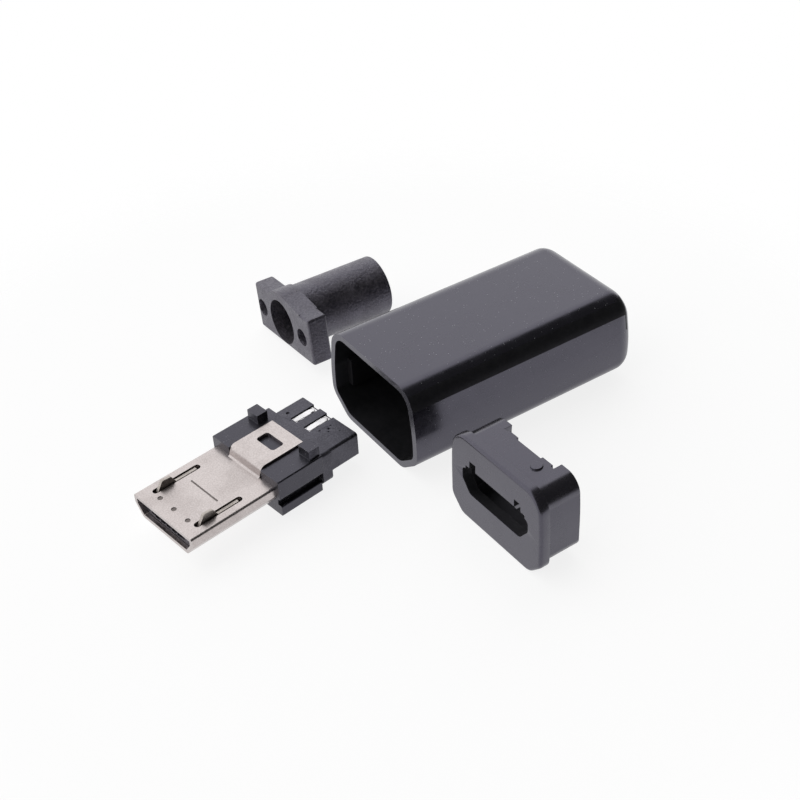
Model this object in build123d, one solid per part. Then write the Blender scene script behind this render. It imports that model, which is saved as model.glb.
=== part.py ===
from build123d import *
import os

os.makedirs("parts", exist_ok=True)

# A solder-it-yourself micro USB plug, lying in its four pieces on a table: the plug core with its
# steel shell, the sleeve that covers it, the bezel that closes the sleeve's mouth and the grommet
# that guides the cable out of its back. Every piece is drawn in its own frame: X runs back towards
# the cable, Y to the left and Z up from what it lies on. Sizes are in millimetres and turns in degrees.

# Steel shell, the size that the socket takes
shell_width = 6.85
shell_height = 1.8
shell_sheet = 0.3
shell_foot_width = 5.3
shell_side_drop = 0.8
shell_fold_radius = 0.2
shell_foot_radius = 0.4
shell_reach = 7.35
shell_tuck = 1.1
shell_lift = 1.08

# Marks stamped in the shell's wide face
dimple_setback = 1.03
dimple_spacing = 1.63
dimple_radius = 0.2
dimple_depth = 0.06
scribe_setback = 3.67
scribe_length = 3.1
scribe_width = 0.14
scribe_depth = 0.05

# Strap bent up from the shell to hold the collar
strap_width = 3.54
strap_rise = 0.86
strap_root = 0.9
strap_short = 0.05
strap_lean = 0.28
strap_bend = 0.2
strap_play = 0.06
window_inset = 1.1
window_length = 1.1
window_width = 1.95
window_radius = 0.25

# Latch slots in the shell and the sprung hooks that stand in them
latch_inset = 0.965
latch_sheet = 0.25
latch_arm_height = 0.34
latch_pivot_tuck = 0.25
latch_root = 0.35
latch_play = 0.08
slot_front = 1.0
slot_length = 4.1
slot_side_play = 0.125
hook_setback = 0.22
hook_ramp = 0.6
hook_crown = 0.75
hook_tail = 0.55
hook_height = 0.64
hook_sag = 0.08
hook_crest_radius = 0.2

# Collar moulded round the back of the shell
collar_wall = 0.375
collar_cover = 0.67
collar_length = 4.1
collar_edge = 0.12
rail_inset = 0.3
rail_height = 0.9
rail_setback = 0.3
groove_inset = 0.7
groove_height = 1.0
post_length = 0.95
post_width = 1.2
post_inset = 0.25
post_height = 0.75

# Contact carrier: channel inside the shell, back plate and solder block
carrier_play = 0.05
carrier_setback = 0.35
cheek_wall = 0.26
mouth_depth = 5.0
floor_height = 0.32
plate_gap = 0.05
plate_length = 0.9
plate_inset = 0.15
plate_drop = 0.15
plate_foot = 0.5
plate_foot_radius = 0.55
plate_top_radius = 0.275
block_length = 2.95
block_width = 6.34
block_foot = 0.87
block_top = 2.95
block_edge = 0.2
pad_channel_depth = 0.25
pad_setback = 0.65
pad_play = 0.05

# Contacts: five springs in the mouth and their solder tails
contact_count = 5
contact_pitch = 0.65
contact_width = 0.36
contact_sheet = 0.12
contact_setback = 0.75
contact_bump = 0.3
contact_bump_rise = 0.55
contact_bump_fall = 1.1
contact_bend = 0.12
contact_groove_play = 0.06
pad_width = 0.62
pad_sheet = 0.15
pad_spacing = 1.5
top_pad_shift = 0.65
foot_tail_step = 0.35
top_tail_step = 0.65

# Which contact goes to which place along the block's top and foot, counted from the middle
top_pads = {2: 0.5, 4: -0.5}
foot_pads = {1: 1, 3: 0, 5: -1}

# Sleeve
sleeve_width = 11.65
sleeve_height = 7.8
sleeve_length = 20.9
sleeve_wall = 0.5
sleeve_back_wall = 0.9
sleeve_top_radius = 1.9
sleeve_foot_cut = 2.15
sleeve_foot_rise = 1.5
sleeve_foot_radius = 0.8
sleeve_back_radius = 1.2
sleeve_mouth_edge = 0.12
guide_setback = 1.2
guide_depth = 0.625
guide_height = 2.4
guide_lift = 2.0

# Bezel
bezel_step = 0.3
bezel_play = 0.05
bezel_plate = 0.8
bezel_depth = 3.65
bezel_wall = 0.8
bezel_front_edge = 0.25
bezel_top_radius = 1.5
bezel_foot_cut = 1.2
bezel_foot_rise = 1.25
bezel_foot_radius = 1.0
bezel_shell_lift = 2.65
bezel_shell_play = 0.14
bezel_head_room = 0.44
hook_play = 0.22
hook_head_room = 0.44
bezel_recess_depth = 0.7
bezel_recess_width = 5.5
bezel_tab_length = 0.18
bezel_tab_width = 1.1
bezel_tab_spacing = 3.8
bezel_pip_radius = 0.45
bezel_pip_height = 0.12
bezel_pip_edge = 0.06
bezel_pip_setback = 2.2
bezel_pip_offset = 1.85

# Grommet
tube_radius = 2.67
tube_length = 7.25
cable_radius = 1.98
flange_play = 0.975
flange_height = 4.25
flange_thickness = 1.75
flange_edge = 0.15
pin_hole_radius = 0.78
pin_hole_inset = 0.97
pin_hole_depth = 1.2
grommet_play = 0.1
grommet_roll = -4.9

# Where the pieces lie, from the middle of the sleeve's mouth: back, left and turn
core_place = (-17.95, -0.66, 9.0)
grommet_place = (0.76, 14.85, -1.2)
bezel_place = (0.69, -14.05, 0.9)


def outline(points):
    """A closed outline of straight runs, standing across the piece"""
    return make_face(Polyline(points, close=True))


def round_corners(face, low, high):
    """Round the lower and the upper corners of an outline, each with its radius"""
    lower = [corner for level in face.vertices().group_by(Axis.Y)[:-1] for corner in level]
    face = fillet(lower, low)
    return fillet(face.vertices().group_by(Axis.Y)[-1], high)


def d_outline(width, height, cut, rise, foot_radius, top_radius):
    """The section of the sleeve and the bezel: rounded above, cut away at both lower corners"""
    half = width / 2
    foot = half - cut
    points = [(-half, height), (half, height), (half, rise), (foot, 0), (-foot, 0), (-half, rise)]
    return round_corners(outline(points), foot_radius, top_radius)


def across(face, start, length):
    """Stand an outline at a distance from the front and run it backwards"""
    return extrude(Plane.YZ.offset(start) * face, length)


def block(start, end, width, low, high, middle=0.0):
    """A plain block from start to end, so wide about its middle, from low to high"""
    return Pos((start + end) / 2, middle, (low + high) / 2) * Box(end - start, width, high - low)


# Levels of the core, from what it lies on
shell_top = shell_lift + shell_height
bore_foot = shell_lift + shell_sheet
bore_top = shell_top - shell_sheet
strap_top = shell_top + strap_rise
collar_base_top = rail_height + groove_height
collar_top = shell_top + collar_cover

# Widths and lengths of the core, worked out from the shell
collar_width = shell_width + 2 * collar_wall
latch_offset = shell_width / 2 - latch_inset
slot_width = latch_sheet + 2 * slot_side_play
mouth_width = 2 * (latch_offset - cheek_wall) - slot_width
shell_end = shell_reach + shell_tuck
latch_end = shell_reach + latch_pivot_tuck + latch_root
collar_end = shell_reach + collar_length
strap_end = collar_end - strap_short
plate_start = collar_end + plate_gap
block_start = plate_start + plate_length
block_end = block_start + block_length
contact_level = bore_foot + floor_height - contact_sheet


# Widths of the bezel and the grommet, worked out from the sleeve's inside
wall_inside = sleeve_width / 2 - sleeve_wall
guide_inside = wall_inside - guide_depth
skirt_width = 2 * (guide_inside - bezel_play)
cavity_end = sleeve_length - sleeve_back_wall
flange_half = wall_inside - flange_play
pin_hole_offset = flange_half - pin_hole_inset


def shell_section(inset):
    """The shell's section, drawn in from its outside by an inset"""
    half = shell_width / 2
    foot = shell_foot_width / 2
    shoulder = shell_height - shell_side_drop
    points = [(-half, shell_height), (half, shell_height), (half, shoulder),
              (foot, 0), (-foot, 0), (-half, shoulder)]
    face = round_corners(outline(points), shell_foot_radius, shell_fold_radius)
    if inset:
        face = offset(face, amount=-inset, kind=Kind.INTERSECTION)
    return Pos(0, shell_lift) * face


def make_shell():
    """Folded steel tube with latch slots, stamped marks and a strap that bends up over the collar"""
    tube = across(shell_section(0), 0, shell_end) - across(shell_section(shell_sheet), 0, shell_end)
    middle = shell_sheet / 2
    for side in (1, -1):
        place = Pos(slot_front + slot_length / 2, side * latch_offset, shell_top - middle)
        tube -= extrude(place * SlotOverall(slot_length, slot_width), shell_sheet, both=True)
    for step in (-1, 0, 1):
        dimple = Cylinder(dimple_radius, 2 * dimple_depth)
        tube -= Pos(dimple_setback, step * dimple_spacing, shell_top) * dimple
    tube -= block(scribe_setback - scribe_width / 2, scribe_setback + scribe_width / 2, scribe_length,
                  shell_top - scribe_depth, shell_top + scribe_depth)
    tube -= block(shell_reach, shell_end, strap_width, bore_top, shell_top)
    bends = [(shell_reach - strap_root, shell_top), (shell_reach, shell_top),
             (shell_reach + strap_lean, strap_top), (strap_end, strap_top)]
    line = FilletPolyline(*[(x, 0, z - middle) for x, z in bends], radius=strap_bend + middle)
    section = Plane(line @ 0, x_dir=(0, 1, 0), z_dir=line % 0) * Rectangle(strap_width, shell_sheet)
    strap = sweep(section, line)
    place = Pos(strap_end - window_inset - window_length / 2, 0, strap_top - middle)
    window = place * RectangleRounded(window_length, window_width, window_radius)
    return tube + strap - extrude(window, shell_sheet, both=True)


def latch_profile():
    """Side view of a latch: the arm under the wide face and the hook that stands through its slot"""
    top = bore_top - latch_play
    foot = top - latch_arm_height
    crest = shell_top + hook_height
    front = slot_front + hook_setback
    ramp_end = front + hook_ramp
    crown_end = ramp_end + hook_crown
    hook_end = crown_end + hook_tail
    return [(front, foot), (front, bore_top), (ramp_end, crest), (crown_end, crest - hook_sag),
            (hook_end, top), (latch_end, top), (latch_end, foot)]


def make_latch(side):
    """Spring steel blade on edge, with a ramped hook at its front"""
    face = make_face(Polyline([(x, 0, z) for x, z in latch_profile()], close=True))
    blade = extrude(face, latch_sheet / 2, both=True)
    crest = blade.edges().filter_by(Axis.Y).group_by(Axis.Z)[-1]
    blade = fillet(crest, hook_crest_radius)
    return Pos(0, side * latch_offset, 0) * blade


def latch_pocket(side):
    """The room that a latch needs inside the core, through its whole travel"""
    return block(slot_front, latch_end + latch_play, slot_width, bore_foot, bore_top, side * latch_offset)


def make_collar():
    """Moulded collar: upper block, side grooves and foot plate, two posts, and a bore for the shell"""
    body = block(shell_reach, collar_end, collar_width, collar_base_top, collar_top)
    body = fillet(body.edges().filter_by(Axis.X), collar_edge)
    rail_start = shell_reach + rail_setback
    body += block(rail_start, collar_end, collar_width - 2 * groove_inset, 0, collar_base_top + collar_edge)
    rail = block(rail_start, collar_end, collar_width - 2 * rail_inset, 0, rail_height)
    body += fillet(rail.edges().filter_by(Axis.X), collar_edge)
    post_top = collar_top + post_height
    for side in (1, -1):
        middle = side * (collar_width / 2 - post_inset - post_width / 2)
        body += block(collar_end - post_length, collar_end, post_width, collar_top, post_top, middle)
    body -= across(shell_section(0), shell_reach, shell_tuck)
    body -= across(shell_section(shell_sheet), shell_reach, collar_length)
    riser_end = shell_reach + strap_lean + shell_sheet + strap_play
    channel = strap_width + 2 * strap_play
    body -= block(shell_reach, riser_end, channel, bore_top, collar_top)
    return body - block(shell_reach, collar_end, channel, strap_top - shell_sheet, collar_top)


def contact_middle(number):
    """How far left of the middle a contact lies, counted from the left"""
    return ((contact_count + 1) / 2 - number) * contact_pitch


def pad_middles(places, shift):
    """How far left of the middle each solder pad lies, by the number of its contact"""
    return {number: place * pad_spacing + shift for number, place in places.items()}


def make_contact(number):
    """Stamped spring: bump at the mouth, blade back through the carrier, step and solder tail"""
    place = contact_middle(number)
    crest_setback = contact_setback + contact_bump_rise
    bump_end = crest_setback + contact_bump_fall
    on_top = number in top_pads
    step_end = plate_start + (top_tail_step if on_top else foot_tail_step)
    points = [(contact_setback, contact_level), (crest_setback, contact_level + contact_bump),
              (bump_end, contact_level), (step_end, contact_level)]
    line = FilletPolyline(*[(x, place, z + contact_sheet / 2) for x, z in points], radius=contact_bend)
    section = Plane(line @ 0, x_dir=(0, 1, 0), z_dir=line % 0) * Rectangle(contact_width, contact_sheet)
    spring = sweep(section, line)
    if on_top:
        pad_middle = pad_middles(top_pads, top_pad_shift)[number]
        pad_level = block_top - pad_channel_depth
        step = (contact_level, pad_level + pad_sheet)
    else:
        pad_middle = pad_middles(foot_pads, 0)[number]
        pad_level = block_foot + pad_channel_depth - pad_sheet
        step = (pad_level, contact_level + contact_sheet)
    left = max(place + contact_width / 2, pad_middle + pad_width / 2)
    right = min(place - contact_width / 2, pad_middle - pad_width / 2)
    spring += block(step_end, step_end + contact_sheet, left - right, *step, (left + right) / 2)
    pad_top = pad_level + pad_sheet
    return spring + block(step_end, block_end - block_edge, pad_width, pad_level, pad_top, pad_middle)


def make_carrier(contacts):
    """Moulded insulator: channel inside the shell, plate behind the collar and block for the tails"""
    inner = shell_section(shell_sheet + carrier_play)
    body = across(inner, carrier_setback, plate_start - carrier_setback)
    mouth_end = carrier_setback + mouth_depth
    mouth_floor = bore_foot + floor_height
    body -= block(0, mouth_end, mouth_width, mouth_floor, shell_top)
    for side in (1, -1):
        body -= latch_pocket(side)
    half = collar_width / 2 - plate_inset
    plate_top = collar_top - plate_drop
    plate = outline([(-half, plate_top), (half, plate_top), (half, plate_foot), (-half, plate_foot)])
    plate = round_corners(plate, plate_foot_radius, plate_top_radius)
    body += across(plate, plate_start, plate_length)
    tail = block(block_start, block_end, block_width, block_foot, block_top)
    body += fillet(tail.edges().filter_by(Axis.X), block_edge)
    channel_start = block_start + pad_setback
    channel_width = pad_width + 2 * pad_play
    top_channel = block_top - pad_channel_depth
    foot_channel = block_foot + pad_channel_depth
    for middle in pad_middles(top_pads, top_pad_shift).values():
        body -= block(channel_start, block_end, channel_width, top_channel, block_top, middle)
    for middle in pad_middles(foot_pads, 0).values():
        body -= block(channel_start, block_end, channel_width, block_foot, foot_channel, middle)
    groove_width = contact_width + 2 * contact_groove_play
    for number, contact in contacts.items():
        middle = contact_middle(number)
        body -= block(carrier_setback, mouth_end, groove_width, contact_level, mouth_floor, middle)
        body -= contact
    return body


def make_sleeve():
    """Moulded sleeve: open at the front, a guide inside each side wall, a round hole in its back wall"""
    section = d_outline(sleeve_width, sleeve_height, sleeve_foot_cut, sleeve_foot_rise,
                        sleeve_foot_radius, sleeve_top_radius)
    body = across(section, 0, sleeve_length)
    back = body.faces().sort_by(Axis.X)[-1]
    body = fillet(back.edges(), sleeve_back_radius)
    body -= across(offset(section, amount=-sleeve_wall), 0, cavity_end)
    front = body.faces().sort_by(Axis.X)[0]
    body = fillet(front.outer_wire().edges(), sleeve_mouth_edge)
    guide_top = guide_lift + guide_height
    for side in (1, -1):
        middle = side * (wall_inside - guide_depth / 2)
        body += block(guide_setback, cavity_end, guide_depth, guide_lift, guide_top, middle)
    hole = Plane.YZ.offset(cavity_end) * Pos(0, sleeve_height / 2) * Circle(tube_radius + grommet_play)
    return body - extrude(hole, sleeve_back_wall)


def make_bezel():
    """Moulded bezel: front plate that closes the sleeve, opening for the shell and a skirt behind"""
    skirt_height = sleeve_height - 2 * sleeve_wall - 2 * bezel_play
    height = skirt_height + 2 * bezel_step
    section = d_outline(skirt_width + 2 * bezel_step, height, bezel_foot_cut, bezel_foot_rise,
                        bezel_foot_radius, bezel_top_radius)
    plate = across(section, 0, bezel_plate)
    front = plate.faces().sort_by(Axis.X)[0]
    plate = fillet(front.edges(), bezel_front_edge)
    skirt = across(offset(section, amount=-bezel_step), bezel_plate, bezel_depth - bezel_plate)
    skirt -= across(offset(section, amount=-bezel_step - bezel_wall), bezel_plate, bezel_depth - bezel_plate)
    skirt_top = height - bezel_step
    skirt_inside = skirt_top - bezel_wall
    recess_front = bezel_depth - bezel_recess_depth
    tab_end = recess_front + bezel_tab_length
    skirt -= block(recess_front, bezel_depth, bezel_recess_width, skirt_inside, skirt_top)
    for side in (1, -1):
        middle = side * bezel_tab_spacing / 2
        skirt += block(recess_front, tab_end, bezel_tab_width, skirt_inside, skirt_top, middle)
    pip = Cylinder(bezel_pip_radius, 2 * bezel_pip_height)
    pip = fillet(pip.edges().sort_by(Axis.Z)[-1], bezel_pip_edge)
    body = plate + skirt + Pos(bezel_pip_setback, -bezel_pip_offset, skirt_top) * pip
    drop = bezel_shell_lift - shell_lift
    opening = Pos(0, drop) * offset(shell_section(0), amount=bezel_shell_play)
    body -= across(opening, 0, bezel_plate)
    opening_middle = bezel_shell_lift + shell_height / 2
    shell_level = bezel_shell_lift + shell_height
    head_width = shell_width - 2 * shell_fold_radius
    body -= block(0, bezel_plate, head_width, opening_middle, shell_level + bezel_head_room)
    notch_width = latch_sheet + 2 * hook_play
    notch_top = shell_level + hook_height + hook_head_room
    for side in (1, -1):
        body -= block(0, bezel_plate, notch_width, opening_middle, notch_top, side * latch_offset)
    return body


def make_grommet():
    """Moulded cable grommet: flange with two pin holes and a tube for the cable, rolled as it lies"""
    rise = flange_height / 2
    corners = [(-flange_half, rise), (flange_half, rise), (flange_half, -rise), (-flange_half, -rise)]
    flange = round_corners(outline(corners), flange_edge, flange_edge)
    body = across(flange, 0, flange_thickness)
    whole_length = flange_thickness + tube_length
    body += extrude(Plane.YZ * Circle(tube_radius), whole_length)
    body -= extrude(Plane.YZ * Circle(cable_radius), whole_length)
    for side in (1, -1):
        hole = Plane.YZ * Pos(side * pin_hole_offset, 0) * Circle(pin_hole_radius)
        body -= extrude(hole, pin_hole_depth)
    return Pos(0, 0, tube_radius) * Rot(grommet_roll, 0, 0) * body


def lay(part, place):
    """Lay a piece down where it is: back, left and turn"""
    return Pos(place[0], place[1], 0) * Rot(0, 0, place[2]) * part


contacts = {number: make_contact(number) for number in range(1, contact_count + 1)}
core = {"plug_shell": make_shell(), "collar": make_collar(), "contact_carrier": make_carrier(contacts)}
for number, contact in contacts.items():
    core["contact_%d" % number] = contact
core["latch_left"] = make_latch(1)
core["latch_right"] = make_latch(-1)
pieces = {name: lay(part, core_place) for name, part in core.items()}
pieces["sleeve"] = make_sleeve()
pieces["bezel"] = lay(make_bezel(), bezel_place)
pieces["grommet"] = lay(make_grommet(), grommet_place)

# The origin is on the table, under the middle of everything
whole = Compound(children=[Compound(part.wrapped) for part in pieces.values()]).bounding_box()
centre = ((whole.min.X + whole.max.X) / 2, (whole.min.Y + whole.max.Y) / 2)
for name, part in pieces.items():
    export_step(Pos(-centre[0], -centre[1], 0) * part, "parts/%s.step" % name)
print("origin from the sleeve's mouth:", round(centre[0], 3), round(centre[1], 3), whole.size)
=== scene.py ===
from math import cos, pi, radians, sin, tan

import bmesh
import bpy
from mathutils import Matrix, Vector, noise


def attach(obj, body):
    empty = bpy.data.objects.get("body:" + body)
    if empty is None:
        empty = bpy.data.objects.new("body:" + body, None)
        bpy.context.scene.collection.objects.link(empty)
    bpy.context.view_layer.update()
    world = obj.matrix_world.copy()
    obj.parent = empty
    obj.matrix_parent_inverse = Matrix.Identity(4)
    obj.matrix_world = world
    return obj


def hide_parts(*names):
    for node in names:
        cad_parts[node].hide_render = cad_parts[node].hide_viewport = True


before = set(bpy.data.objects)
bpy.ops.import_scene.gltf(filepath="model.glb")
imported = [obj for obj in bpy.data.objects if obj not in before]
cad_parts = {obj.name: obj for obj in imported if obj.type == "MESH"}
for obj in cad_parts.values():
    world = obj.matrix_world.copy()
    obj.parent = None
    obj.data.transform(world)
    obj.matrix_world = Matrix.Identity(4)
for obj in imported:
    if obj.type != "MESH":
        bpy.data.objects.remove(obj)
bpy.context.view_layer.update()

# The white sheet that the pieces lie on, in a room that is bright behind them and dark behind the
# camera. The sheet fades away close round them, so their glossy sides reflect white low down and the
# dark room above it.
mm = 0.001
sheet_radius = 150 * mm
sheet_segments = 64
sheet_bright_radius = 34 * mm
sheet_fade = 16 * mm
sheet_gap = 0.02 * mm
sheet_colour = (0.8, 0.8, 0.8, 1)
shadow_colour = (0.22, 0.22, 0.22, 1)
sheet_glow = 0.84
white = (1, 1, 1, 1)
dark_side = Vector((0.35, -0.93, 0.1)).normalized()
dark_begins = -0.05
dark_full = 0.16
bright_level = 1.25
dark_level = 0.07


def add(tree, kind, inputs=None, **settings):
    """Add a node to a tree, with its settings, and with its inputs set or linked"""
    node = tree.nodes.new(kind)
    for name, value in settings.items():
        setattr(node, name, value)
    for name, value in (inputs or {}).items():
        if isinstance(value, bpy.types.NodeSocket):
            tree.links.new(value, node.inputs[name])
        else:
            node.inputs[name].default_value = value
    return node


def empty_tree(owner):
    """The node tree of a material or a world, with nothing in it"""
    owner.use_nodes = True
    owner.node_tree.nodes.clear()
    return owner.node_tree


def finished_object(bm, name):
    """Turn a finished bmesh into an object at the origin"""
    mesh = bpy.data.meshes.new(name)
    bm.to_mesh(mesh)
    bm.free()
    thing = bpy.data.objects.new(name, mesh)
    bpy.context.scene.collection.objects.link(thing)
    return thing


paper = bpy.data.materials.new("white_paper")
tree = empty_tree(paper)
path = add(tree, "ShaderNodeLightPath")
seen = add(tree, "ShaderNodeMath", {0: path.outputs["Is Camera Ray"], 1: path.outputs["Is Glossy Ray"]},
           operation="ADD", use_clamp=True)
lit = add(tree, "ShaderNodeBsdfDiffuse", {"Color": sheet_colour})
shadowed = add(tree, "ShaderNodeBsdfDiffuse", {"Color": shadow_colour})
glow = add(tree, "ShaderNodeEmission", {"Color": white, "Strength": sheet_glow})
bleached = add(tree, "ShaderNodeAddShader", {0: shadowed.outputs[0], 1: glow.outputs[0]})
sheet = add(tree, "ShaderNodeMixShader",
            {"Fac": seen.outputs[0], 1: lit.outputs[0], 2: bleached.outputs[0]})
place = add(tree, "ShaderNodeTexCoord")
distance = add(tree, "ShaderNodeVectorMath", {0: place.outputs["Object"]}, operation="LENGTH")
fade = add(tree, "ShaderNodeMapRange",
           {"Value": distance.outputs["Value"], "From Min": sheet_bright_radius,
            "From Max": sheet_bright_radius + sheet_fade}, interpolation_type="SMOOTHSTEP")
nothing = add(tree, "ShaderNodeBsdfTransparent")
surface = add(tree, "ShaderNodeMixShader",
              {"Fac": fade.outputs[0], 1: sheet.outputs[0], 2: nothing.outputs[0]})
add(tree, "ShaderNodeOutputMaterial", {"Surface": surface.outputs[0]})

bm = bmesh.new()
bmesh.ops.create_circle(bm, cap_ends=True, segments=sheet_segments, radius=sheet_radius)
bmesh.ops.translate(bm, verts=bm.verts, vec=(0, 0, -sheet_gap))
floor = finished_object(bm, "floor")
floor.data.materials.append(paper)

world = bpy.data.worlds.new("studio")
bpy.context.scene.world = world
tree = empty_tree(world)
path = add(tree, "ShaderNodeLightPath")
place = add(tree, "ShaderNodeTexCoord")
facing = add(tree, "ShaderNodeVectorMath", {0: place.outputs["Generated"], 1: dark_side},
             operation="DOT_PRODUCT")
glow = add(tree, "ShaderNodeMapRange",
           {"Value": facing.outputs["Value"], "From Min": dark_begins, "From Max": dark_full,
            "To Min": bright_level, "To Max": dark_level}, interpolation_type="SMOOTHSTEP")
room = add(tree, "ShaderNodeBackground", {"Color": white, "Strength": glow.outputs[0]})
backdrop = add(tree, "ShaderNodeBackground", {"Color": white, "Strength": 1})
both = add(tree, "ShaderNodeMixShader",
           {"Fac": path.outputs["Is Camera Ray"], 1: room.outputs[0], 2: backdrop.outputs[0]})
add(tree, "ShaderNodeOutputWorld", {"Surface": both.outputs[0]})

# The camera. Its aim, turn, height, roll, distance and lens were fitted to the photograph, with the
# plug's mouth as the known size.
camera_aim = Vector((3.24, 2.94, 0)) * mm
camera_turn = -32.35
camera_elevation = 38.27
camera_roll = -3.14
camera_distance = 107.16 * mm
camera = bpy.data.cameras.new("camera")
camera.sensor_width = 36
camera.lens = 60.8
camera.clip_start = 1 * mm
camera.clip_end = 2
camera_object = bpy.data.objects.new("camera", camera)
camera_object.matrix_world = (Matrix.Translation(camera_aim) @ Matrix.Rotation(radians(camera_turn), 4, "Z")
                              @ Matrix.Rotation(radians(90 - camera_elevation), 4, "X")
                              @ Matrix.Rotation(radians(camera_roll), 4, "Z")
                              @ Matrix.Translation((0, 0, camera_distance)))
bpy.context.scene.collection.objects.link(camera_object)
bpy.context.scene.camera = camera_object
bpy.context.scene.view_settings.view_transform = "Standard"

# The plug shell: 0.3 mm steel sheet, stamped, folded shut and nickel plated. The plating is bright but
# slightly pebbled, with faint stains and with fine scratches from the press tool. Painted shade darkens
# the marks that are pressed into its top, and a painted highlight pales its rounded edges.
shell_edge = 0.04 * mm
sharp_fold = radians(30)
flat_enough = radians(1)
weld = 1e-7
# How far back and left of the middle of the sleeve's mouth the origin of the frame lies, in mm
origin_back = 1.207
origin_left = 0.178


def merged_copy(node):
    """A bmesh of a node's own solid: its triangles merged, and its flat faces made whole"""
    bm = bmesh.new()
    bm.from_mesh(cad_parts[node].data)
    bmesh.ops.remove_doubles(bm, verts=bm.verts, dist=weld)
    bmesh.ops.dissolve_limit(bm, angle_limit=flat_enough, verts=bm.verts, edges=bm.edges)
    return bm


def soften(bm, radius):
    """Round every sharp edge as a real press or mould leaves it, and mark the rounded strips"""
    sharp = [edge for edge in bm.edges if edge.calc_face_angle(0) > sharp_fold]
    mark = bm.faces.layers.float.new("edge")
    made = bmesh.ops.bevel(bm, geom=sharp, offset=radius, offset_type="OFFSET", segments=2, profile=0.5,
                           affect="EDGES", clamp_overlap=True, material=-1)
    for face in made["faces"]:
        face[mark] = 1
    for face in bm.faces:
        face.smooth = True


def lying(place, turn, roll=0):
    """The matrix that lays a piece down, turned and rolled, at its place"""
    return (Matrix.Translation(place) @ Matrix.Rotation(radians(turn), 4, "Z")
            @ Matrix.Rotation(radians(roll), 4, "X"))


def finish_piece(bm, name, node, body, slot, *materials):
    """Make the piece that stands for a node, with its materials, on its body"""
    piece = finished_object(bm, name)
    for material in materials:
        piece.data.materials.append(material)
    shading = piece.modifiers.new("even_shading", "WEIGHTED_NORMAL")
    shading.keep_sharp = True
    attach(piece, body)
    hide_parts(node)


def effect(name, inputs, outputs):
    """An empty shader group, with float or vector inputs and float outputs"""
    group = bpy.data.node_groups.new(name, "ShaderNodeTree")
    for socket, kind, value in inputs:
        made = group.interface.new_socket(socket, in_out="INPUT", socket_type=kind)
        if value is not None:
            made.default_value = value
    for socket in outputs:
        group.interface.new_socket(socket, in_out="OUTPUT", socket_type="NodeSocketFloat")
    return group


def use(tree, group, inputs):
    """Place a shader group in a material"""
    return add(tree, "ShaderNodeGroup", inputs, node_tree=group)


# Plating: a pebbled height, long fine scratches and soft stains
plating = effect("plating", [("Vector", "NodeSocketVector", None),
                             ("Pebble scale", "NodeSocketFloat", 9000.0),
                             ("Stain scale", "NodeSocketFloat", 420.0)], ["Pebbles", "Scratches", "Stains"])
given = add(plating, "NodeGroupInput")
pebble = add(plating, "ShaderNodeTexNoise",
             {"Vector": given.outputs["Vector"], "Scale": given.outputs["Pebble scale"], "Detail": 3.0,
              "Roughness": 0.55})
along = add(plating, "ShaderNodeMapping",
            {"Vector": given.outputs["Vector"], "Rotation": (0, 0, 0.6), "Scale": (700, 16000, 6000)})
streak = add(plating, "ShaderNodeTexNoise", {"Vector": along.outputs[0], "Scale": 1.0, "Detail": 2.0})
thin = add(plating, "ShaderNodeMapRange",
           {"Value": streak.outputs["Fac"], "From Min": 0.62, "From Max": 0.74})
stain = add(plating, "ShaderNodeTexNoise",
            {"Vector": given.outputs["Vector"], "Scale": given.outputs["Stain scale"], "Detail": 4.0,
             "Roughness": 0.6})
soft = add(plating, "ShaderNodeMapRange",
           {"Value": stain.outputs["Fac"], "From Min": 0.42, "From Max": 0.68},
           interpolation_type="SMOOTHSTEP")
add(plating, "NodeGroupOutput",
    {"Pebbles": pebble.outputs["Fac"], "Scratches": thin.outputs[0], "Stains": soft.outputs[0]})

# Painted edge highlight: the rounded strips, broken up by a noise, where the colour is made paler
edge_highlight = effect("edge_highlight", [("Vector", "NodeSocketVector", None), ("Amount", "NodeSocketFloat", 0.5)],
                   ["Highlight"])
given = add(edge_highlight, "NodeGroupInput")
strip = add(edge_highlight, "ShaderNodeAttribute", attribute_name="edge")
patch = add(edge_highlight, "ShaderNodeTexNoise",
            {"Vector": given.outputs["Vector"], "Scale": 2600.0, "Detail": 3.0})
broken = add(edge_highlight, "ShaderNodeMapRange",
             {"Value": patch.outputs["Fac"], "From Min": 0.35, "From Max": 0.7, "To Min": 0.25})
highlighted = add(edge_highlight, "ShaderNodeMath", {0: strip.outputs["Fac"], 1: broken.outputs[0]},
           operation="MULTIPLY")
scaled = add(edge_highlight, "ShaderNodeMath", {0: highlighted.outputs[0], 1: given.outputs["Amount"]},
             operation="MULTIPLY")
add(edge_highlight, "NodeGroupOutput", {"Highlight": scaled.outputs[0]})

# Painted shade: the colour that darkens the faces which lie in the pressed marks
marks_shade_colour = (0.1, 0.085, 0.08, 1)
# How strongly a painted highlight pales the rounded edges of the metals
metal_edge_highlight = 0.8
stain_share = 0.3
speckle_share = 0.7
scratch_dulling = 0.12
scratch_height = -0.35


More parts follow.
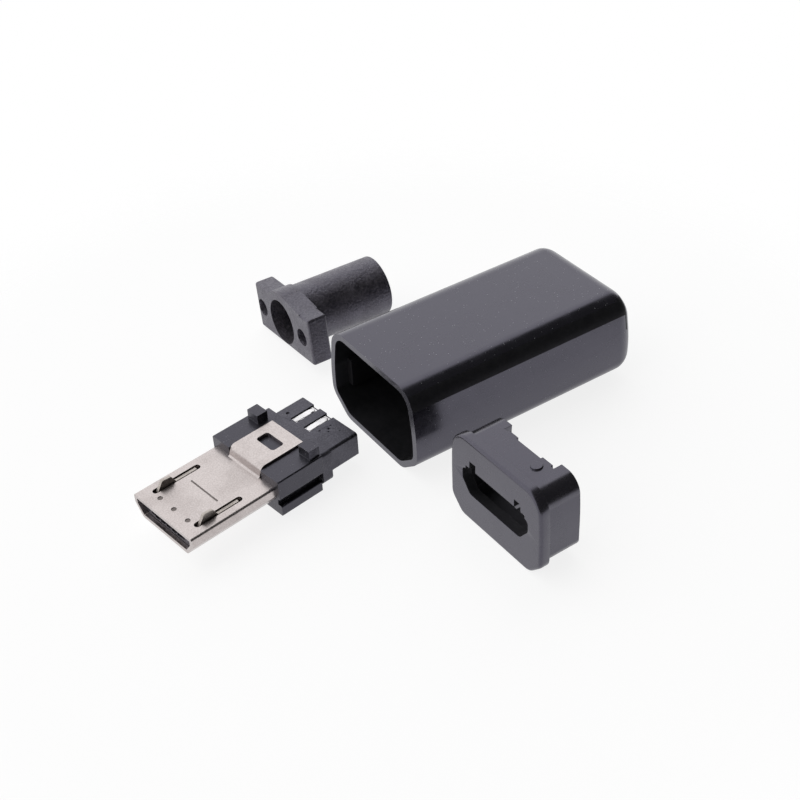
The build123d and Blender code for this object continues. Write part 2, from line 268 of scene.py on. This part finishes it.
def plated_metal(name, clean, stained, highlight_colour, smooth, dull, pebble_depth):
    """A plated metal: clean and stained colours, painted edge highlight colour, roughness from smooth to
    dull, and pebbles
    """
    metal = bpy.data.materials.new(name)
    tree = empty_tree(metal)
    place = add(tree, "ShaderNodeTexCoord").outputs["Object"]
    finish = use(tree, plating, {"Vector": place})
    edges = use(tree, edge_highlight, {"Vector": place, "Amount": metal_edge_highlight})
    speckle = add(tree, "ShaderNodeMapRange",
                  {"Value": finish.outputs["Pebbles"], "From Min": 0.36, "From Max": 0.64,
                   "To Max": speckle_share})
    patchy = add(tree, "ShaderNodeMath",
                 {0: finish.outputs["Stains"], 1: stain_share, 2: speckle.outputs[0]},
                 operation="MULTIPLY_ADD")
    tint = add(tree, "ShaderNodeMix", {"Factor": patchy.outputs[0], "A": clean, "B": stained},
               data_type="RGBA")
    # Painted highlight: the rounded edge strips are made paler
    edge_lit = add(tree, "ShaderNodeMix",
                 {"Factor": edges.outputs["Highlight"], "A": tint.outputs["Result"], "B": highlight_colour},
                 data_type="RGBA")
    # Painted shade: faces marked in this attribute are darkened towards its colour
    marks_shade = add(tree, "ShaderNodeAttribute", attribute_name="marks_shade")
    colour = add(tree, "ShaderNodeMix",
                 {"Factor": marks_shade.outputs["Fac"], "A": edge_lit.outputs["Result"], "B": marks_shade_colour},
                 data_type="RGBA")
    rough = add(tree, "ShaderNodeMapRange",
                {"Value": finish.outputs["Stains"], "To Min": smooth, "To Max": dull})
    scuffed = add(tree, "ShaderNodeMath",
                  {0: finish.outputs["Scratches"], 1: scratch_dulling, 2: rough.outputs[0]},
                  operation="MULTIPLY_ADD")
    height = add(tree, "ShaderNodeMath",
                 {0: finish.outputs["Scratches"], 1: scratch_height, 2: finish.outputs["Pebbles"]},
                 operation="MULTIPLY_ADD")
    bump = add(tree, "ShaderNodeBump",
               {"Strength": 0.6, "Distance": pebble_depth, "Height": height.outputs[0]})
    shader = add(tree, "ShaderNodeBsdfPrincipled",
                 {"Base Color": colour.outputs["Result"], "Metallic": 1.0,
                  "Roughness": scuffed.outputs[0], "Normal": bump.outputs[0]})
    add(tree, "ShaderNodeOutputMaterial", {"Surface": shader.outputs[0]})
    return metal


nickel = plated_metal("nickel_plate", clean=(0.60, 0.55, 0.54, 1), stained=(0.44, 0.395, 0.385, 1),
                      highlight_colour=(0.66, 0.63, 0.62, 1), smooth=0.3, dull=0.36, pebble_depth=0.0035 * mm)
core_front = Vector((-17.95 - origin_back, -0.66 - origin_left, 0)) * mm
core_turn = 9.0
core_laid = lying(core_front, core_turn)
shell_top = 2.88 * mm
shell_flat_half = 3.15 * mm
shallowest_mark = 0.012 * mm
deepest_mark = 0.075 * mm
shade_in_marks = 0.85
bm = merged_copy("plug_shell")
soften(bm, shell_edge)
bmesh.ops.transform(bm, matrix=core_laid.inverted(), verts=bm.verts)
# Painted shade: the faces in the shallow pressed marks of the top are marked to be darkened
shaded_marks = bm.faces.layers.float.new("marks_shade")
for face in bm.faces:
    centre = face.calc_center_median()
    if abs(centre.y) < shell_flat_half and shallowest_mark < shell_top - centre.z < deepest_mark:
        face[shaded_marks] = shade_in_marks
bmesh.ops.transform(bm, matrix=core_laid, verts=bm.verts)
finish_piece(bm, "folded_shell", "plug_shell", "kit", "nickel_plated_steel", nickel)

# The two latches: blades of bare spring steel on edge, stamped with a ramped hook. Each stands in a
# slot of the shell, which its arm fills behind the hook, and springs about its tail in the carrier.
latch_edge = 0.03 * mm
latch_offset = 2.46 * mm
latch_half_sheet = 0.125 * mm
arm_start = 2.9 * mm
arm_end = 4.75 * mm
arm_low = 2.35 * mm
arm_high = 2.83 * mm


def prism(points, start, length):
    """A solid of an outline that stands across the piece at start and runs backwards"""
    bm = bmesh.new()
    face = bm.faces.new([bm.verts.new((start, y, z)) for y, z in points])
    made = bmesh.ops.extrude_face_region(bm, geom=[face])
    moved = [part for part in made["geom"] if isinstance(part, bmesh.types.BMVert)]
    bmesh.ops.translate(bm, verts=moved, vec=(length, 0, 0))
    bmesh.ops.recalc_face_normals(bm, faces=bm.faces)
    return bm


def upright(near, far, low, high):
    """The corners of an upright rectangle"""
    return [(near, low), (far, low), (far, high), (near, high)]


def combined(bm, operations):
    """Join solids to a bmesh or cut them from it, and make its flat faces whole again"""
    base = finished_object(bm, "base")
    for tool, operation in operations:
        other = finished_object(tool, "tool")
        step = base.modifiers.new("step", "BOOLEAN")
        step.object = other
        step.operation = operation
        step.solver = "EXACT"
        mesh = bpy.data.meshes.new_from_object(base.evaluated_get(bpy.context.evaluated_depsgraph_get()))
        base.modifiers.clear()
        base.data = mesh
        bpy.data.objects.remove(other)
    bm = bmesh.new()
    bm.from_mesh(base.data)
    bpy.data.objects.remove(base)
    bmesh.ops.remove_doubles(bm, verts=bm.verts, dist=weld)
    bmesh.ops.dissolve_limit(bm, angle_limit=flat_enough, verts=bm.verts, edges=bm.edges)
    return bm


spring_steel = plated_metal("spring_steel", clean=(0.52, 0.48, 0.45, 1), stained=(0.40, 0.36, 0.33, 1),
                            highlight_colour=(0.68, 0.64, 0.60, 1), smooth=0.42, dull=0.55, pebble_depth=0.003 * mm)
for side, left in (("left", 1), ("right", -1)):
    bm = merged_copy("latch_" + side)
    bmesh.ops.transform(bm, matrix=core_laid.inverted(), verts=bm.verts)
    near = left * latch_offset - latch_half_sheet
    far = left * latch_offset + latch_half_sheet
    arm = prism(upright(near, far, arm_low, arm_high), arm_start, arm_end - arm_start)
    bm = combined(bm, [(arm, "UNION")])
    soften(bm, latch_edge)
    bmesh.ops.transform(bm, matrix=core_laid, verts=bm.verts)
    finish_piece(bm, side + "_hook_blade", "latch_" + side, side + "_hook", "spring_steel", spring_steel)

# The five contacts: springs stamped from copper alloy and tinned, one beside another in the mouth,
# with a flat solder tail each.
contact_edge = 0.02 * mm
tin = plated_metal("tin_plate", clean=(0.86, 0.85, 0.86, 1), stained=(0.74, 0.73, 0.74, 1),
                   highlight_colour=(0.92, 0.91, 0.92, 1), smooth=0.3, dull=0.45, pebble_depth=0.008 * mm)
for number in range(1, 6):
    bm = merged_copy("contact_%d" % number)
    soften(bm, contact_edge)
    finish_piece(bm, "spring_contact_%d" % number, "contact_%d" % number, "kit", "tinned_contact", tin)

# Solder: a thin coat on each of the two tails that lie on top of the block, left by the tinning bath.
# Its outline is a rounded oblong, made uneven by a noise.
solder_middle = 14.08 * mm
solder_lefts = {2: 1.4 * mm, 4: -0.1 * mm}
solder_half = (1.0 * mm, 0.31 * mm, 0.06 * mm)
solder_level = 2.85 * mm
# Within this share of its half size, the coat keeps a round crown
solder_crown = 0.4
lump_size = 0.2
lump_scale = 4
for number, left in solder_lefts.items():
    bm = bmesh.new()
    bmesh.ops.create_icosphere(bm, subdivisions=4, radius=1)
    for vert in bm.verts:
        square = max(abs(vert.co.x), abs(vert.co.y), solder_crown) ** 0.5
        lump = 1 + lump_size * noise.noise(vert.co * lump_scale + Vector((number, 0, 0)))
        vert.co = Vector((vert.co.x / square * solder_half[0], vert.co.y / square * solder_half[1] * lump,
                          vert.co.z * solder_half[2] * lump))
    bmesh.ops.translate(bm, verts=bm.verts, vec=(solder_middle, left, solder_level))
    bmesh.ops.transform(bm, matrix=core_laid, verts=bm.verts)
    for face in bm.faces:
        face.smooth = True
    coat = finished_object(bm, "solder_%d" % number)
    coat.data.materials.append(tin)
    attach(coat, "kit")

# The carrier and the collar: black glass-filled mouldings with a fine spark-eroded grain, a little paler
# where the mould face has worn, with a painted highlight along their edges. The top of the carrier's block
# is pitted.
carrier_edge = 0.045 * mm
collar_edge = 0.1 * mm
block_top = 2.95 * mm
# Each pit's place back and left, and its radius, in mm
pits = ((13.3, 2.4, 0.15), (14.25, -1.25, 0.11), (14.0, -1.5, 0.08), (14.6, -1.05, 0.07),
        (13.6, -0.95, 0.09), (14.7, -2.0, 0.06), (12.9, 1.6, 0.05))
violet_gloss = (0.82, 0.79, 1.0, 1)
fleck_colour = (0.5, 0.5, 0.52, 1)
fleck_rarity = 0.82
mottle_share = 0.3
grain_share = 0.7

# Mould grain: a fine height and its tips, wide soft patches, and a few pale flecks
grain = effect("mould_grain", [("Vector", "NodeSocketVector", None), ("Scale", "NodeSocketFloat", 6000.0)],
               ["Height", "Mottle", "Flecks", "Grain"])
given = add(grain, "NodeGroupInput")
fine = add(grain, "ShaderNodeTexNoise",
           {"Vector": given.outputs["Vector"], "Scale": given.outputs["Scale"], "Detail": 4.0,
            "Roughness": 0.62})
patches = add(grain, "ShaderNodeTexNoise",
              {"Vector": given.outputs["Vector"], "Scale": 700.0, "Detail": 3.0})
mottle = add(grain, "ShaderNodeMapRange",
             {"Value": patches.outputs["Fac"], "From Min": 0.35, "From Max": 0.68},
             interpolation_type="SMOOTHSTEP")
tips = add(grain, "ShaderNodeMapRange", {"Value": fine.outputs["Fac"], "From Min": 0.4, "From Max": 0.66})
cells = add(grain, "ShaderNodeTexVoronoi", {"Vector": given.outputs["Vector"], "Scale": 5200.0})
spot = add(grain, "ShaderNodeMapRange",
           {"Value": cells.outputs["Distance"], "From Min": 0.1, "From Max": 0.2, "To Min": 1.0,
            "To Max": 0.0})
chosen = add(grain, "ShaderNodeSeparateColor", {"Color": cells.outputs["Color"]})
few = add(grain, "ShaderNodeMath", {0: chosen.outputs["Red"], 1: fleck_rarity},
          operation="GREATER_THAN")
flecks = add(grain, "ShaderNodeMath", {0: spot.outputs[0], 1: few.outputs[0]}, operation="MULTIPLY")
add(grain, "NodeGroupOutput", {"Height": fine.outputs["Fac"], "Mottle": mottle.outputs[0],
                               "Flecks": flecks.outputs[0], "Grain": tips.outputs[0]})


def moulded_plastic(name, dark, pale, edge, smooth, dull, grain_scale, grain_depth, highlight_amount, fleck=0.0,
                    shine=1.9):
    """A black moulding: dark and mottled colours, painted edge highlight colour, roughness from smooth to
    dull, and grain
    """
    plastic = bpy.data.materials.new(name)
    tree = empty_tree(plastic)
    place = add(tree, "ShaderNodeTexCoord").outputs["Object"]
    finish = use(tree, grain, {"Vector": place, "Scale": grain_scale})
    edges = use(tree, edge_highlight, {"Vector": place, "Amount": highlight_amount})
    soft_tone = add(tree, "ShaderNodeMath", {0: finish.outputs["Mottle"], 1: mottle_share},
                    operation="MULTIPLY")
    tone = add(tree, "ShaderNodeMath",
               {0: finish.outputs["Grain"], 1: grain_share, 2: soft_tone.outputs[0]},
               operation="MULTIPLY_ADD", use_clamp=True)
    body = add(tree, "ShaderNodeMix", {"Factor": tone.outputs[0], "A": dark, "B": pale}, data_type="RGBA")
    # Painted highlight: the rounded edge strips are made paler
    edge_lit = add(tree, "ShaderNodeMix",
                 {"Factor": edges.outputs["Highlight"], "A": body.outputs["Result"], "B": edge},
                 data_type="RGBA")
    speck = add(tree, "ShaderNodeMath", {0: finish.outputs["Flecks"], 1: fleck}, operation="MULTIPLY")
    colour = add(tree, "ShaderNodeMix",
                 {"Factor": speck.outputs[0], "A": edge_lit.outputs["Result"], "B": fleck_colour},
                 data_type="RGBA")
    rough = add(tree, "ShaderNodeMapRange",
                {"Value": finish.outputs["Mottle"], "To Min": smooth, "To Max": dull})
    bump = add(tree, "ShaderNodeBump",
               {"Strength": 0.8, "Distance": grain_depth, "Height": finish.outputs["Height"]})
    shader = add(tree, "ShaderNodeBsdfPrincipled",
                 {"Base Color": colour.outputs["Result"], "IOR": shine, "Specular Tint": violet_gloss,
                  "Roughness": rough.outputs[0], "Normal": bump.outputs[0]})
    add(tree, "ShaderNodeOutputMaterial", {"Surface": shader.outputs[0]})
    return plastic


filled_plastic = moulded_plastic(
    "filled_plastic", dark=(0.006, 0.006, 0.007, 1), pale=(0.022, 0.022, 0.025, 1),
    edge=(0.09, 0.09, 0.095, 1), smooth=0.24, dull=0.36, grain_scale=7000, grain_depth=0.01 * mm,
    highlight_amount=0.6, fleck=0.4, shine=1.68)
gritty = moulded_plastic(
    "gritty_plastic", dark=(0.008, 0.008, 0.01, 1), pale=(0.07, 0.07, 0.078, 1),
    edge=(0.12, 0.12, 0.125, 1), smooth=0.34, dull=0.5, grain_scale=6500, grain_depth=0.03 * mm,
    highlight_amount=0.6, fleck=0.3, shine=1.75)
bm = merged_copy("contact_carrier")
bmesh.ops.transform(bm, matrix=core_laid.inverted(), verts=bm.verts)
operations = []
for back, left, radius in pits:
    pit = bmesh.new()
    bmesh.ops.create_icosphere(pit, subdivisions=3, radius=radius * mm,
                               matrix=Matrix.Translation((back * mm, left * mm, block_top)))
    operations.append((pit, "DIFFERENCE"))
bm = combined(bm, operations)
soften(bm, carrier_edge)
bmesh.ops.transform(bm, matrix=core_laid, verts=bm.verts)
finish_piece(bm, "insulator", "contact_carrier", "kit", "black_moulding", gritty)
bm = merged_copy("collar")
soften(bm, collar_edge)
finish_piece(bm, "collar_block", "collar", "kit", "black_moulding", filled_plastic)

# The sleeve: a deep moulding in glossy black, open at the front and with a round hole for the grommet
# in its back wall. Fine dust lies on its outside. The unpolished finish of its inside also covers the
# strips along its upper corners and its two lower slants.
sleeve_place = Vector((-origin_back, -origin_left, 0)) * mm
sleeve_edge = 0.05 * mm
sleeve_length = 20.9 * mm
sleeve_half = 5.8 * mm
sleeve_height = 7.8 * mm
sleeve_back_radius = 1.5 * mm
sleeve_back_inset = (1.1 * mm, 1.7 * mm)
sleeve_back_wall = 0.9 * mm
hole_radius = 2.77 * mm
hole_steps = 60
# Half of each section as corners, from the top down: left, up and the corner's radius, in mm
outside = ((5.2, 7.8, 1.8), (5.8, 3.9, 15), (5.76, 1.6, 1.35), (3.75, 0, 1.5))
hollow = ((4.68, 7.3, 1.3), (5.3, 3.9, 13), (5.25, 1.85, 0.95), (3.5, 0.5, 1.1))
corner_steps = 10
back_steps = 10
guide_start = 1.2 * mm
guide_length = 18.8 * mm
guide_near = 4.7 * mm
guide_far = 5.5 * mm
guide_low = 2.0 * mm
guide_high = 4.4 * mm
# A box round the middles of the inner faces, which takes in those of the corner strips and slants too:
# front, back, half width, low and high
sleeve_inside = (0.1 * mm, 20.2 * mm, 5.42 * mm, 0.4 * mm, 7.4 * mm)
beyond = 1 * mm


def rounded_section(half):
    """A closed symmetrical outline, in metres, from the corners of its left half and their radii"""
    corners = [(Vector((y, z)), radius) for y, z, radius in half]
    corners += [(Vector((-y, z)), radius) for y, z, radius in reversed(half)]
    points = []
    for place, (corner, radius) in enumerate(corners):
        before = (corners[place - 1][0] - corner).normalized()
        after = (corners[(place + 1) % len(corners)][0] - corner).normalized()
        opening = before.angle(after)
        centre = corner + (before + after).normalized() * radius / sin(opening / 2)
        first = corner + before * radius / tan(opening / 2) - centre
        turn = first.angle_signed(corner + after * radius / tan(opening / 2) - centre)
        for step in range(corner_steps + 1):
            spoke = first.copy()
            spoke.rotate(Matrix.Rotation(-turn * step / corner_steps, 2))
            points.append((centre + spoke) * mm)
    return [(point.x, point.y) for point in points]


def round_points(radius, steps, end=360, middle=(0, 0)):
    """Points round a middle, from its left up to just before an end in degrees"""
    turns = [radians(end * step / steps) for step in range(steps)]
    return [(middle[0] + radius * cos(turn), middle[1] + radius * sin(turn)) for turn in turns]


def rounded_back(bm, radius, insets, middle, half, steps):
    """Close a prism's back end with a rounding that goes back by the radius and in by the two insets"""
    for step in range(1, steps + 1):
        last = max(bm.faces, key=lambda face: face.calc_center_median().x)
        before = pi / 2 * (step - 1) / steps
        now = pi / 2 * step / steps
        made = bmesh.ops.extrude_face_region(bm, geom=[last])
        ring = [part for part in made["geom"] if isinstance(part, bmesh.types.BMVert)]
        bmesh.ops.delete(bm, geom=[last], context="FACES_ONLY")
        bmesh.ops.translate(bm, verts=ring, vec=((sin(now) - sin(before)) * radius, 0, 0))
        scale = [(reach - inset * (1 - cos(now))) / (reach - inset * (1 - cos(before)))
                 for reach, inset in zip(half, insets)]
        bmesh.ops.scale(bm, verts=ring, vec=(1, scale[0], scale[1]),
                        space=Matrix.Translation((0, 0, -middle)))


def leave_unpolished(bm, front, back, half, low, high):
    """Give the faces whose middles lie in a box the piece's second material"""
    for face in bm.faces:
        centre = face.calc_center_median()
        if front < centre.x < back and abs(centre.y) < half and low < centre.z < high:
            face.material_index = 1


gloss = moulded_plastic(
    "gloss_black", dark=(0.006, 0.006, 0.007, 1), pale=(0.009, 0.009, 0.011, 1),
    edge=(0.05, 0.05, 0.055, 1), smooth=0.2, dull=0.28, grain_scale=6000, grain_depth=0.003 * mm,
    highlight_amount=0.7, fleck=0.6)
unpolished = moulded_plastic(
    "unpolished_black", dark=(0.012, 0.012, 0.013, 1), pale=(0.02, 0.02, 0.021, 1),
    edge=(0.02, 0.02, 0.022, 1), smooth=0.5, dull=0.6, grain_scale=2600, grain_depth=0.001 * mm,
    highlight_amount=0.5, shine=1.3)
bm = prism(rounded_section(outside), 0, sleeve_length - sleeve_back_radius)
rounded_back(bm, sleeve_back_radius, sleeve_back_inset, sleeve_height / 2,
             (sleeve_half, sleeve_height / 2), back_steps)
bmesh.ops.recalc_face_normals(bm, faces=bm.faces)
cavity = prism(rounded_section(hollow), -beyond, beyond + sleeve_length - sleeve_back_wall)
operations = [(cavity, "DIFFERENCE")]
for left in (1, -1):
    guide = upright(left * guide_near, left * guide_far, guide_low, guide_high)
    operations.append((prism(guide, guide_start, guide_length), "UNION"))
round_hole = round_points(hole_radius, hole_steps, middle=(0, sleeve_height / 2))
operations.append((prism(round_hole, sleeve_length - 2 * beyond, 3 * beyond), "DIFFERENCE"))
bm = combined(bm, operations)
soften(bm, sleeve_edge)
leave_unpolished(bm, *sleeve_inside)
bmesh.ops.translate(bm, verts=bm.verts, vec=sleeve_place)
finish_piece(bm, "cover_sleeve", "sleeve", "kit", "gloss_black_shell", gloss, unpolished)

# The bezel: a satin black moulding that closes the sleeve's mouth around the shell. Its skirt is open
# behind, and the recess in its foot is divided by a thin rib.
bezel_front = Vector((0.69 - origin_back, -14.05 - origin_left, 0)) * mm
bezel_turn = 0.9
bezel_edge = 0.09 * mm
recess_front = 2.6 * mm
recess_back = 3.8 * mm
recess_low = -0.2 * mm
recess_high = 1.3 * mm
recess_sides = ((-0.65 * mm, 0.55 * mm), (0.75 * mm, 1.25 * mm))
# The box that holds the middles of all inner faces: front, back, half width, low and high
bezel_inside = (0.06 * mm, 3.5 * mm, 4.0 * mm, 0.9 * mm, 6.4 * mm)
bezel_lean = 0.3 * mm
bezel_widest = 0.46
bezel_levels = 9


def draw_in_sides(bm, half, height, widest, lean, levels):
    """Draw the sides of a standing section in above its widest level, as a mould's draft and swell do"""
    for level in range(1, levels):
        around = bm.verts[:] + bm.edges[:] + bm.faces[:]
        bmesh.ops.bisect_plane(bm, geom=around, plane_co=(0, 0, height * level / levels),
                               plane_no=(0, 0, 1))
    for vert in bm.verts:
        above = max(0, vert.co.z / height - widest) / (1 - widest)
        vert.co.y *= 1 - lean * above ** 2 / half


satin = moulded_plastic(
    "satin_black", dark=(0.014, 0.013, 0.015, 1), pale=(0.024, 0.022, 0.025, 1),
    edge=(0.08, 0.08, 0.085, 1), smooth=0.22, dull=0.3, grain_scale=5200, grain_depth=0.002 * mm,
    highlight_amount=0.5, fleck=0.1)
bm = merged_copy("bezel")
bezel_laid = lying(bezel_front, bezel_turn)
bmesh.ops.transform(bm, matrix=bezel_laid.inverted(), verts=bm.verts)
operations = []
for right, left in recess_sides:
    recess = upright(right, left, recess_low, recess_high)
    operations.append((prism(recess, recess_front, recess_back - recess_front), "DIFFERENCE"))
bm = combined(bm, operations)
bezel_height = max(vert.co.z for vert in bm.verts)
bezel_half = max(vert.co.y for vert in bm.verts)
draw_in_sides(bm, bezel_half, bezel_height, bezel_widest, bezel_lean, bezel_levels)
soften(bm, bezel_edge)
leave_unpolished(bm, *bezel_inside)
bmesh.ops.transform(bm, matrix=bezel_laid, verts=bm.verts)
finish_piece(bm, "front_bezel", "bezel", "kit", "satin_black", satin, unpolished)

# The grommet: a dull, coarse-grained black moulding. Its flange is flat below and has a hump over the
# cable's bore that slopes down on the right, two blind pin holes, and the cable's tube behind.
grommet_turn = -1.0
grommet_roll = -6.2
grommet_edge = 0.05 * mm
tube_radius = 2.58 * mm
grommet_axis = Vector((0.79 - origin_back, 14.89 - origin_left, 2.58)) * mm
tube_length = 7.45 * mm
tube_in_flange = 0.3 * mm
bore_radius = 1.95 * mm
flange_left = 4.25 * mm
flange_right = -4.85 * mm
flange_rise = 2.1 * mm
flange_thickness = 1.75 * mm
flange_edge = 0.22 * mm
hump_radius = 2.72 * mm
hump_end = 181
crest_turn = 15
slope_end = -3.4 * mm
pin_hole_radius = 0.75 * mm
pin_hole_offset = 3.36 * mm
pin_hole_depth = 1.2 * mm
round_steps = 64
coarse = moulded_plastic(
    "coarse_black", dark=(0.008, 0.007, 0.008, 1), pale=(0.11, 0.1, 0.108, 1),
    edge=(0.22, 0.21, 0.22, 1), smooth=0.3, dull=0.5, grain_scale=5200, grain_depth=0.09 * mm,
    highlight_amount=0.8, fleck=0.5, shine=1.95)
crest = (-hump_radius * sin(radians(crest_turn)), hump_radius * cos(radians(crest_turn)))
corners = [(flange_left, -flange_rise), (flange_left, flange_rise), (flange_right, flange_rise),
           (flange_right, -flange_rise)]
slope = [(0, 0), crest, (slope_end, flange_rise), (slope_end, 0)]
hump = round_points(hump_radius, round_steps, end=hump_end)
tube = round_points(tube_radius, round_steps)
bore = round_points(bore_radius, round_steps)
operations = [(prism(hump, 0, flange_thickness), "UNION"), (prism(slope, 0, flange_thickness), "UNION"),
              (prism(tube, flange_thickness - tube_in_flange, tube_length + tube_in_flange), "UNION"),
              (prism(bore, -beyond, 2 * beyond + flange_thickness + tube_length), "DIFFERENCE")]
for side in (1, -1):
    pin_hole = round_points(pin_hole_radius, round_steps, middle=(side * pin_hole_offset, 0))
    operations.append((prism(pin_hole, -beyond, beyond + pin_hole_depth), "DIFFERENCE"))
bm = prism(corners, 0, flange_thickness)
bmesh.ops.bevel(bm, geom=bm.edges[:], offset=flange_edge, offset_type="OFFSET", segments=3, profile=0.5,
                affect="EDGES", material=-1)
bm = combined(bm, operations)
soften(bm, grommet_edge)
bmesh.ops.transform(bm, matrix=lying(grommet_axis, grommet_turn, grommet_roll), verts=bm.verts)
lowest = min(vert.co.z for vert in bm.verts)
bmesh.ops.translate(bm, verts=bm.verts, vec=(0, 0, max(0, -lowest)))
finish_piece(bm, "cable_grommet", "grommet", "kit", "matte_black", coarse)
